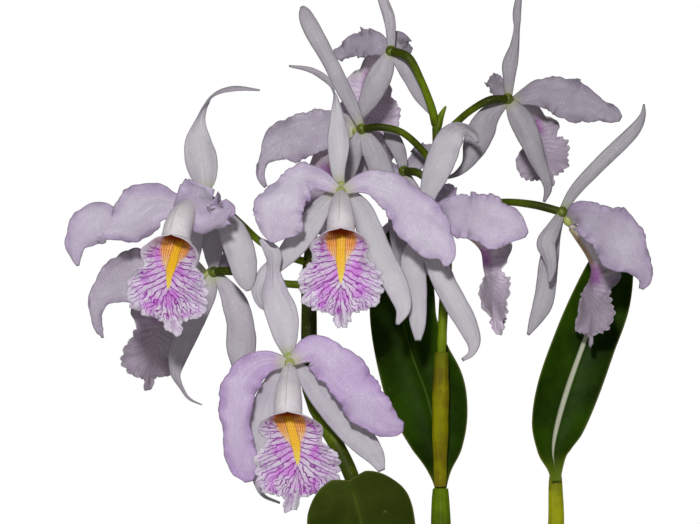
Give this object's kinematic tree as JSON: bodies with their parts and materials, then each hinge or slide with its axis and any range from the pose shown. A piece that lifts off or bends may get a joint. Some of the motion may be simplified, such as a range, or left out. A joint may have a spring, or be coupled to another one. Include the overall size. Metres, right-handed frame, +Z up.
{
  "type": "potted cattleya orchid",
  "caption": "Potted cattleya orchid in flower: lilac blooms with frilled, magenta-veined lips on tall stems above strap leaves, in a plain clay pot.",
  "frame": {"origin": "middle of the pot's flat base, on its clay", "axes": "+Z up through the plant, the blooms' front towards -Y, +X to the right seen from the front"},
  "size_m": [0.3493, 0.1662, 0.576],
  "materials": {
    "petal": "soft petal, pale lilac",
    "lip": "magenta-veined pink with a yellow stripe",
    "sepal": "soft petal, near-white lavender",
    "stem": "green living stem, slightly waxy",
    "sheath": "dry papery sheath, olive yellow",
    "leaf": "leathery dark green leaf",
    "pseudobulb": "smooth green living bulb",
    "bark": "rough bark chips",
    "clay": "unglazed terracotta"
  },
  "bodies": {
    "root": {"bloom_a_petals": "petal", "bloom_a_lip": "lip", "bloom_a_sepals": "sepal", "bloom_b_petals": "petal", "bloom_b_lip": "lip", "bloom_b_sepals": "sepal", "bloom_c_petals": "petal", "bloom_c_lip": "lip", "bloom_c_sepals": "sepal", "bloom_d_petals": "petal", "bloom_d_lip": "lip", "bloom_d_sepals": "sepal", "bloom_e_petals": "petal", "bloom_e_lip": "lip", "bloom_e_sepals": "sepal", "bloom_f_petals": "petal", "bloom_f_lip": "lip", "bloom_f_sepals": "sepal", "bloom_g_petals": "petal", "bloom_g_lip": "lip", "bloom_g_sepals": "sepal", "bloom_h_petals": "petal", "bloom_h_lip": "lip", "bloom_h_sepals": "sepal", "bloom_i_petals": "petal", "bloom_i_lip": "lip", "bloom_i_sepals": "sepal", "bloom_j_petals": "petal", "bloom_j_lip": "lip", "bloom_j_sepals": "sepal", "flower_stem_right": "stem", "flower_stem_left": "stem", "sheath": "sheath", "leaf_middle": "leaf", "leaf_right": "leaf", "leaf_front": "leaf", "pseudobulb_middle": "pseudobulb", "pseudobulb_right": "pseudobulb", "pseudobulb_front": "pseudobulb", "bark": "bark", "pot": "clay"}
  },
  "joints": []
}
